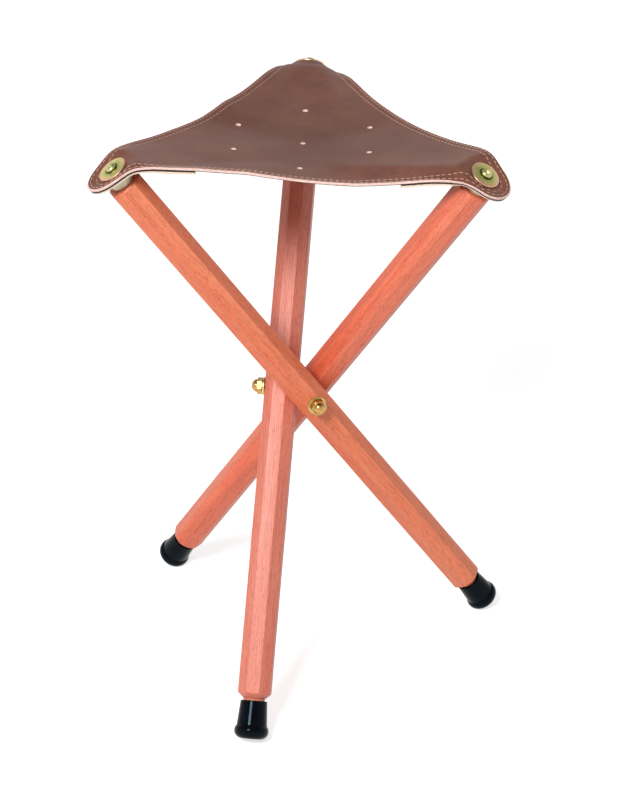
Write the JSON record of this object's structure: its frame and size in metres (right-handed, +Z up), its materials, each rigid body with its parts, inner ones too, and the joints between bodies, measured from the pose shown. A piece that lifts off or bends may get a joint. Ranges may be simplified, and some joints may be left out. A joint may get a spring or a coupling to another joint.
{
  "type": "folding tripod stool",
  "caption": "Folding tripod stool with octagonal beech legs on a three-way bolt, rubber feet and a stitched leather sling seat that folds up as the legs close.",
  "frame": {"origin": "middle of the stool's footprint box, on the floor", "axes": "+Z up, +Y towards the back seat corner, +X to the right seen from the front"},
  "size_m": [0.3497, 0.377, 0.5038],
  "materials": {
    "beech": "clear satin varnish on reddish beech",
    "seat_leather": "smooth brown saddle leather with a low sheen",
    "patch_leather": "brown leather, flesh side down",
    "foot_rubber": "glossy black rubber",
    "bright_brass": "polished",
    "yellow_zinc": "yellow passivated zinc plating",
    "pale_zinc": "pale cream plated collar"
  },
  "bodies": {
    "hub": {"three_way_bolt": "yellow_zinc", "pivot_washer_1": "yellow_zinc", "acorn_nut_1": "bright_brass", "pivot_washer_2": "yellow_zinc", "acorn_nut_2": "bright_brass", "pivot_washer_3": "yellow_zinc", "acorn_nut_3": "bright_brass"},
    "leg_1_body": {"leg_1": "beech", "rubber_foot_1": "foot_rubber", "seat_spacer_1": "pale_zinc", "threaded_insert_1": "bright_brass", "seat_screw_1": "yellow_zinc", "seat_washer_1": "yellow_zinc", "corner_patch_1": "patch_leather", "seat_corner_1": "seat_leather"},
    "leg_2_body": {"leg_2": "beech", "rubber_foot_2": "foot_rubber", "seat_spacer_2": "pale_zinc", "threaded_insert_2": "bright_brass", "seat_screw_2": "yellow_zinc", "seat_washer_2": "yellow_zinc", "corner_patch_2": "patch_leather", "seat_corner_2": "seat_leather"},
    "leg_3_body": {"leg_3": "beech", "rubber_foot_3": "foot_rubber", "seat_spacer_3": "pale_zinc", "threaded_insert_3": "bright_brass", "seat_screw_3": "yellow_zinc", "seat_washer_3": "yellow_zinc", "corner_patch_3": "patch_leather", "seat_corner_3": "seat_leather"},
    "seat_1_left_body": {"seat_panel_1_left": "seat_leather"},
    "seat_1_right_body": {"seat_panel_1_right": "seat_leather"},
    "seat_2_left_body": {"seat_panel_2_left": "seat_leather"},
    "seat_2_right_body": {"seat_panel_2_right": "seat_leather"},
    "seat_3_left_body": {"seat_panel_3_left": "seat_leather"},
    "seat_3_right_body": {"seat_panel_3_right": "seat_leather"}
  },
  "joints": [
    {"name": "leg_1_fold", "type": "hinge", "parent": "hub", "child": "leg_1_body", "pos_m": [-0.0062, -0.0038, 0.25518], "axis": [0.9939, -0.1106, 0], "range_deg": [0, 35.5], "deforming": ["corner_patch_1", "seat_corner_1"]},
    {"name": "leg_2_fold", "type": "hinge", "parent": "hub", "child": "leg_2_body", "pos_m": [-0.0062, -0.0038, 0.25518], "axis": [-0.4012, 0.916, 0], "range_deg": [0, 35.5], "deforming": ["corner_patch_2", "seat_corner_2"]},
    {"name": "leg_3_fold", "type": "hinge", "parent": "hub", "child": "leg_3_body", "pos_m": [-0.0062, -0.0038, 0.25518], "axis": [-0.5927, -0.8054, 0], "range_deg": [0, 35.5], "deforming": ["corner_patch_3", "seat_corner_3"]},
    {"name": "seat_1_left_bend", "type": "hinge", "parent": "leg_1_body", "child": "seat_1_left_body", "pos_m": [0.01044, 0.16722, 0.4905], "axis": [-0.9947, 0.0573, 0.0857], "range_deg": [0, 127.59], "deforming": ["seat_panel_1_left"]},
    {"name": "seat_1_right_bend", "type": "hinge", "parent": "leg_1_body", "child": "seat_1_right_body", "pos_m": [0.01044, 0.16722, 0.4905], "axis": [-0.853, -0.1784, 0.4905], "range_deg": [0, 135], "deforming": ["seat_panel_1_right"]},
    {"name": "seat_2_left_bend", "type": "hinge", "parent": "leg_2_body", "child": "seat_2_left_body", "pos_m": [-0.16263, -0.0749, 0.4905], "axis": [0.4477, -0.89, 0.0857], "range_deg": [0, 127.59], "deforming": ["seat_panel_2_left"]},
    {"name": "seat_2_right_bend", "type": "hinge", "parent": "leg_2_body", "child": "seat_2_right_body", "pos_m": [-0.16263, -0.0749, 0.4905], "axis": [0.581, -0.6495, 0.4905], "range_deg": [0, 135], "deforming": ["seat_panel_2_right"]},
    {"name": "seat_3_left_bend", "type": "hinge", "parent": "leg_3_body", "child": "seat_3_left_body", "pos_m": [0.13359, -0.10372, 0.4905], "axis": [0.5469, 0.8328, 0.0857], "range_deg": [0, 127.59], "deforming": ["seat_panel_3_left"]},
    {"name": "seat_3_right_bend", "type": "hinge", "parent": "leg_3_body", "child": "seat_3_right_body", "pos_m": [0.13359, -0.10372, 0.4905], "axis": [0.272, 0.8279, 0.4905], "range_deg": [0, 135], "deforming": ["seat_panel_3_right"]}
  ],
  "couplings": [
    {"joint": "leg_2_fold", "follows": "leg_1_fold", "ratio": 1},
    {"joint": "leg_3_fold", "follows": "leg_1_fold", "ratio": 1},
    {"joint": "seat_1_left_bend", "follows": "leg_1_fold", "ratio": 3.5939},
    {"joint": "seat_1_right_bend", "follows": "leg_1_fold", "ratio": 3.8027},
    {"joint": "seat_2_left_bend", "follows": "leg_1_fold", "ratio": 3.5939},
    {"joint": "seat_2_right_bend", "follows": "leg_1_fold", "ratio": 3.8027},
    {"joint": "seat_3_left_bend", "follows": "leg_1_fold", "ratio": 3.5939},
    {"joint": "seat_3_right_bend", "follows": "leg_1_fold", "ratio": 3.8027}
  ]
}
